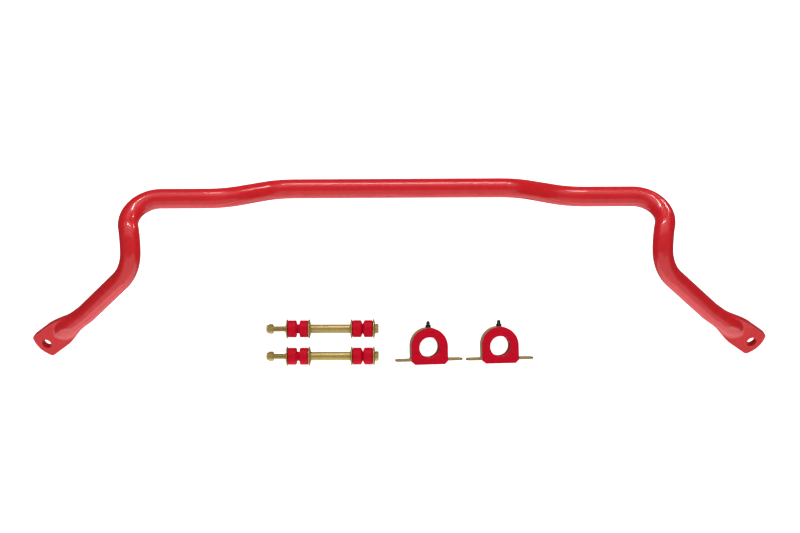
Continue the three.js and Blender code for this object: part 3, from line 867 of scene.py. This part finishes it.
def bore_loop(radius, z, count):
    """count points round the bore, from one side of the split round to the other, at height z."""
    slit = math.asin(SPLIT_WIDTH / 2 / radius)
    loop = []
    for i in range(count):
        angle = -math.pi / 2 + slit + (2 * math.pi - 2 * slit) * i / (count - 1)
        loop.append(Vector((radius * math.cos(angle), radius * math.sin(angle), z)))
    return loop


def frame_bushing(number):
    """A flanged D block: loops run from the bore over one end, along the outside and back."""
    half = FRAME_BUSHING_LENGTH / 2
    groove_half = STRAP_WIDTH / 2 + 0.2 * MM
    waist = FLANGE_RADIUS - STRAP_THICKNESS - 0.2 * MM
    edge = 0.9 * MM
    bore_edge = 0.6 * MM
    rim = arch_loop(FLANGE_RADIUS, half, edge)
    count = len(rim)
    inner = bore_loop(FRAME_BORE_RADIUS + bore_edge, half, count)
    one_end = [
        bore_loop(FRAME_BORE_RADIUS, half - bore_edge, count),
        bore_loop(FRAME_BORE_RADIUS + 0.2 * bore_edge, half - 0.25 * bore_edge, count),
        inner,
        [a.lerp(b, 0.5) for a, b in zip(inner, rim)],
    ]
    for step in range(5):
        angle = math.pi / 2 * step / 4
        z = half - edge * (1 - math.cos(angle))
        one_end.append(arch_loop(FLANGE_RADIUS, z, edge * (1 - math.sin(angle))))
    one_end += [
        arch_loop(FLANGE_RADIUS, groove_half + 0.3 * MM),
        arch_loop(FLANGE_RADIUS, groove_half, 0.3 * MM),
        arch_loop(waist, groove_half),
    ]
    other_end = [[Vector((p.x, p.y, -p.z)) for p in loop] for loop in reversed(one_end)]
    grooves = []
    for step in range(1, GROOVE_STEPS):
        z = -half + FRAME_BUSHING_LENGTH * step / GROOVE_STEPS
        deeper = GROOVE_DEPTH if step % 2 else 0
        grooves.append(bore_loop(FRAME_BORE_RADIUS + deeper, z, count))
    loops = one_end + other_end + grooves
    rows = len(loops)
    vertices = [point for loop in loops for point in loop]
    faces = []
    for row in range(rows):
        here, there = row * count, (row + 1) % rows * count
        faces += [(here + i, here + i + 1, there + i + 1, there + i) for i in range(count - 1)]
    faces.append(tuple(row * count for row in range(rows)))
    faces.append(tuple(row * count + count - 1 for row in reversed(range(rows))))
    piece = mesh_object(f"cast_frame_bushing_{number}", vertices, faces)
    drill = [circle(x, GREASE_HOLE_RADIUS) for x in (0, 2 * FLANGE_RADIUS)]
    hole = mesh_object("grease_hole", *loft(drill))
    hole.data.transform(Matrix.Rotation(math.pi / 2, 4, "Z"))
    cut(piece, hole, solver="MANIFOLD")
    return moved(shaded(piece, 40), set_frame(number))


def arc(x, y, radius, start, end, steps):
    """Points on an arc round (x, y), between two angles in half turns."""
    angles = [math.pi * (start + (end - start) * i / steps) for i in range(steps + 1)]
    return [(x + radius * math.cos(angle), y + radius * math.sin(angle)) for angle in angles]


def strap_section_outline():
    """The strap seen along the bore: tab, leg, arch, leg, tab, outside and then inside."""
    inside = FLANGE_RADIUS - STRAP_THICKNESS
    sides = []
    for radius, tab, bend_radius in [
        (FLANGE_RADIUS, TAB_TOP, STRAP_BEND_RADIUS),
        (inside, TAB_TOP - STRAP_THICKNESS, STRAP_BEND_RADIUS + STRAP_THICKNESS / 2),
    ]:
        right = [(TAB_REACH, tab)]
        right += arc(radius + bend_radius, tab + bend_radius, bend_radius, 1.5, 1, 8)
        left = [(-x, y) for x, y in reversed(right)]
        sides.append(right + arc(0, ARCH_RISE, radius, 0, 1, 48) + left)
    outer, inner = sides
    return outer + inner[::-1]


def extruded(name, outline, depth):
    """A prism along Z, centred on the plane of its outline."""
    loops = [[Vector((x, y, z)) for x, y in outline] for z in (-depth / 2, depth / 2)]
    return mesh_object(name, *loft(loops))


def plan_prism(name, outline):
    """A tall prism along Y from an (x, z) outline."""
    top = 3 * FLANGE_RADIUS
    loops = [[Vector((x, y, z)) for x, z in outline] for y in (-top, top)]
    return mesh_object(name, *loft(loops))


def slot_outline(centre):
    reach = TAB_SLOT_HALF_LENGTH + TAB_SLOT_RADIUS
    almost_round = TAB_SLOT_RADIUS * 0.999
    return rounded([
        (centre - reach, -TAB_SLOT_RADIUS, almost_round),
        (centre + reach, -TAB_SLOT_RADIUS, almost_round),
        (centre + reach, TAB_SLOT_RADIUS, almost_round),
        (centre - reach, TAB_SLOT_RADIUS, almost_round),
    ], 12)


def frame_bracket(number):
    """The bent strap, with its tabs' corners and slots and a hole at the top for the fitting."""
    strap = extruded(f"plated_frame_bracket_{number}", strap_section_outline(), STRAP_WIDTH)
    half = STRAP_WIDTH / 2
    plan = plan_prism("plan", rounded([
        (TAB_REACH, -half, TAB_CORNER_RADIUS),
        (TAB_REACH, half, TAB_CORNER_RADIUS),
        (-TAB_REACH, half, TAB_CORNER_RADIUS),
        (-TAB_REACH, -half, TAB_CORNER_RADIUS),
    ], 16))
    cut(strap, plan, "INTERSECT")
    for side in (-1, 1):
        cut(strap, plan_prism("slot", slot_outline(side * TAB_SLOT_X)))
    hole = plan_prism("hole", arc(0, 0, FITTING_HOLE_RADIUS, 0, 2, 40)[:-1])
    hole.data.transform(Matrix.Translation((0, 3 * FLANGE_RADIUS, 0)))
    cut(strap, hole)
    round_edges(strap, STRAP_EDGE_RADIUS)
    return moved(shaded(strap, 30), set_frame(number))


def grease_fitting(number, sides=60):
    """Hexagon, neck, head and mouth, from the shank's end up, turned to stand along Y."""
    upper_edge, lower_edge = [], []
    for i in range(sides):
        angle = 2 * math.pi * i / sides
        r = FITTING_HEX_APOTHEM / math.cos(angle % (math.pi / 3) - math.pi / 6)
        back = (r - FITTING_LAND_RADIUS) * math.tan(HEX_CHAMFER)
        y, z = r * math.cos(angle), r * math.sin(angle)
        upper_edge.append(Vector((FITTING_HEX_HEIGHT - back, y, z)))
        lower_edge.append(Vector((0.3 * back, y, z)))
    loops = [circle(x * MM, r * MM, sides) for x, r in FITTING_SHANK]
    loops += [lower_edge, upper_edge, circle(FITTING_HEX_HEIGHT, FITTING_LAND_RADIUS, sides)]
    loops += [circle(x * MM, r * MM, sides) for x, r in FITTING_HEAD]
    piece = mesh_object(f"turned_grease_fitting_{number}", *loft(loops, ends="joined"), crease=30)
    stand = Matrix.Translation((0, FITTING_SEAT, 0)) @ Matrix.Rotation(math.pi / 2, 4, "Z")
    return moved(piece, set_frame(number) @ stand)


def check_ball(number, rings=16):
    loops = []
    for i in range(1, rings):
        angle = math.pi * i / rings
        loops.append(circle(BALL_RADIUS * math.cos(angle), BALL_RADIUS * math.sin(angle), 32))
    piece = mesh_object(f"polished_check_ball_{number}", *loft(loops), crease=60)
    low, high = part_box(f"check_ball_{number}")
    return moved(piece, Matrix.Translation((low + high) / 2))


def check_spring(number, turn_steps=24, sides=10):
    """A coil along Y, its wire's loops square to the wire."""
    length = SPRING_TOP - SPRING_BOTTOM
    slope = length / (2 * math.pi * SPRING_TURNS * SPRING_RADIUS)
    steps = turn_steps * SPRING_TURNS
    loops = []
    for step in range(steps + 1):
        angle = 2 * math.pi * SPRING_TURNS * step / steps
        out = Vector((math.cos(angle), 0, math.sin(angle)))
        along = Vector((-math.sin(angle), slope, math.cos(angle))).normalized()
        side = along.cross(out)
        centre = out * SPRING_RADIUS + Vector((0, SPRING_BOTTOM + length * step / steps, 0))
        loop = []
        for i in range(sides):
            around = 2 * math.pi * i / sides
            spoke = out * math.cos(around) + side * math.sin(around)
            loop.append(centre + SPRING_WIRE_RADIUS * spoke)
        loops.append(loop)
    piece = mesh_object(f"wound_check_spring_{number}", *loft(loops), crease=50)
    return moved(piece, set_frame(number) @ Matrix.Translation((0, FITTING_SEAT, 0)))


def frame_set(number):
    for make, node in [
        (frame_bushing, "frame_bushing"),
        (frame_bracket, "frame_bracket"),
        (grease_fitting, "grease_fitting"),
        (check_ball, "check_ball"),
        (check_spring, "check_spring"),
    ]:
        stands_for(make(number), f"{node}_{number}")


# ---- Table, light and camera --------------------------------------------------------------------

def table():
    """White paper that the object neither mirrors nor takes light from, as in a cut-out picture."""
    half = TABLE_HALF_SIZE
    below = -0.1 * MM
    around = [(-half, -half), (half, -half), (half, half), (-half, half)]
    corners = [(x, y, below) for x, y in around]
    top = mesh_object("table", corners, [(0, 1, 2, 3)])
    material = bpy.data.materials.new("white_table")
    material.use_nodes = True
    shader = material.node_tree.nodes["Principled BSDF"]
    shader.inputs["Base Color"].default_value = (0.8, 0.8, 0.8, 1)
    shader.inputs["Roughness"].default_value = 0.9
    shader.inputs["Specular IOR Level"].default_value = 0.0
    shader.inputs["Emission Color"].default_value = (1, 1, 1, 1)
    shader.inputs["Emission Strength"].default_value = TABLE_GLOW
    top.data.materials.append(material)
    top.visible_glossy = False
    top.visible_diffuse = False
    top.visible_shadow = False


def softbox(name, place, size, radiance):
    light = bpy.data.lights.new(name, "AREA")
    light.shape = "RECTANGLE"
    light.size, light.size_y = size
    light.energy = radiance * math.pi * size[0] * size[1]
    lamp = bpy.data.objects.new(name, light)
    lamp.location = place
    lamp.rotation_euler = (LIGHTS_AIM - Vector(place)).to_track_quat("-Z", "Y").to_euler()
    bpy.context.scene.collection.objects.link(lamp)


def room():
    """Grey walls and ceiling, dark near the horizon, and the white paper straight below."""
    world = bpy.data.worlds.new("room")
    world.use_nodes = True
    nodes, links = world.node_tree.nodes, world.node_tree.links
    split = nodes.new("ShaderNodeSeparateXYZ")
    links.new(nodes.new("ShaderNodeTexCoord").outputs["Generated"], split.inputs["Vector"])
    height = nodes.new("ShaderNodeMapRange")
    height.inputs["From Min"].default_value = -1
    height.inputs["From Max"].default_value = 1
    links.new(split.outputs["Z"], height.inputs["Value"])
    ramp = ramp_node(nodes, [((z + 1) / 2, (light, light, light)) for z, light in ROOM_LIGHT])
    links.new(height.outputs["Result"], ramp.inputs["Fac"])
    links.new(ramp.outputs["Color"], nodes["Background"].inputs["Color"])
    bpy.context.scene.world = world


def camera():
    data = bpy.data.cameras.new("camera")
    data.lens = 50
    data.sensor_width = 36
    turned = Matrix.Rotation(CAMERA_SWING, 4, "Y") @ Matrix.Rotation(CAMERA_ROLL, 4, "Z")
    back = Matrix.Translation((0, 0, CAMERA_DISTANCE))
    rig = bpy.data.objects.new("camera", data)
    rig.matrix_world = Matrix.Translation(CAMERA_AIM) @ turned @ back
    bpy.context.scene.collection.objects.link(rig)
    bpy.context.scene.camera = rig
    bpy.context.scene.view_settings.view_transform = "Standard"


sway_bar()
for link_number in (1, 2):
    end_link(link_number)
for set_number in (1, 2):
    frame_set(set_number)
table()
for softbox_values in SOFTBOXES:
    softbox(*softbox_values)
room()
camera()
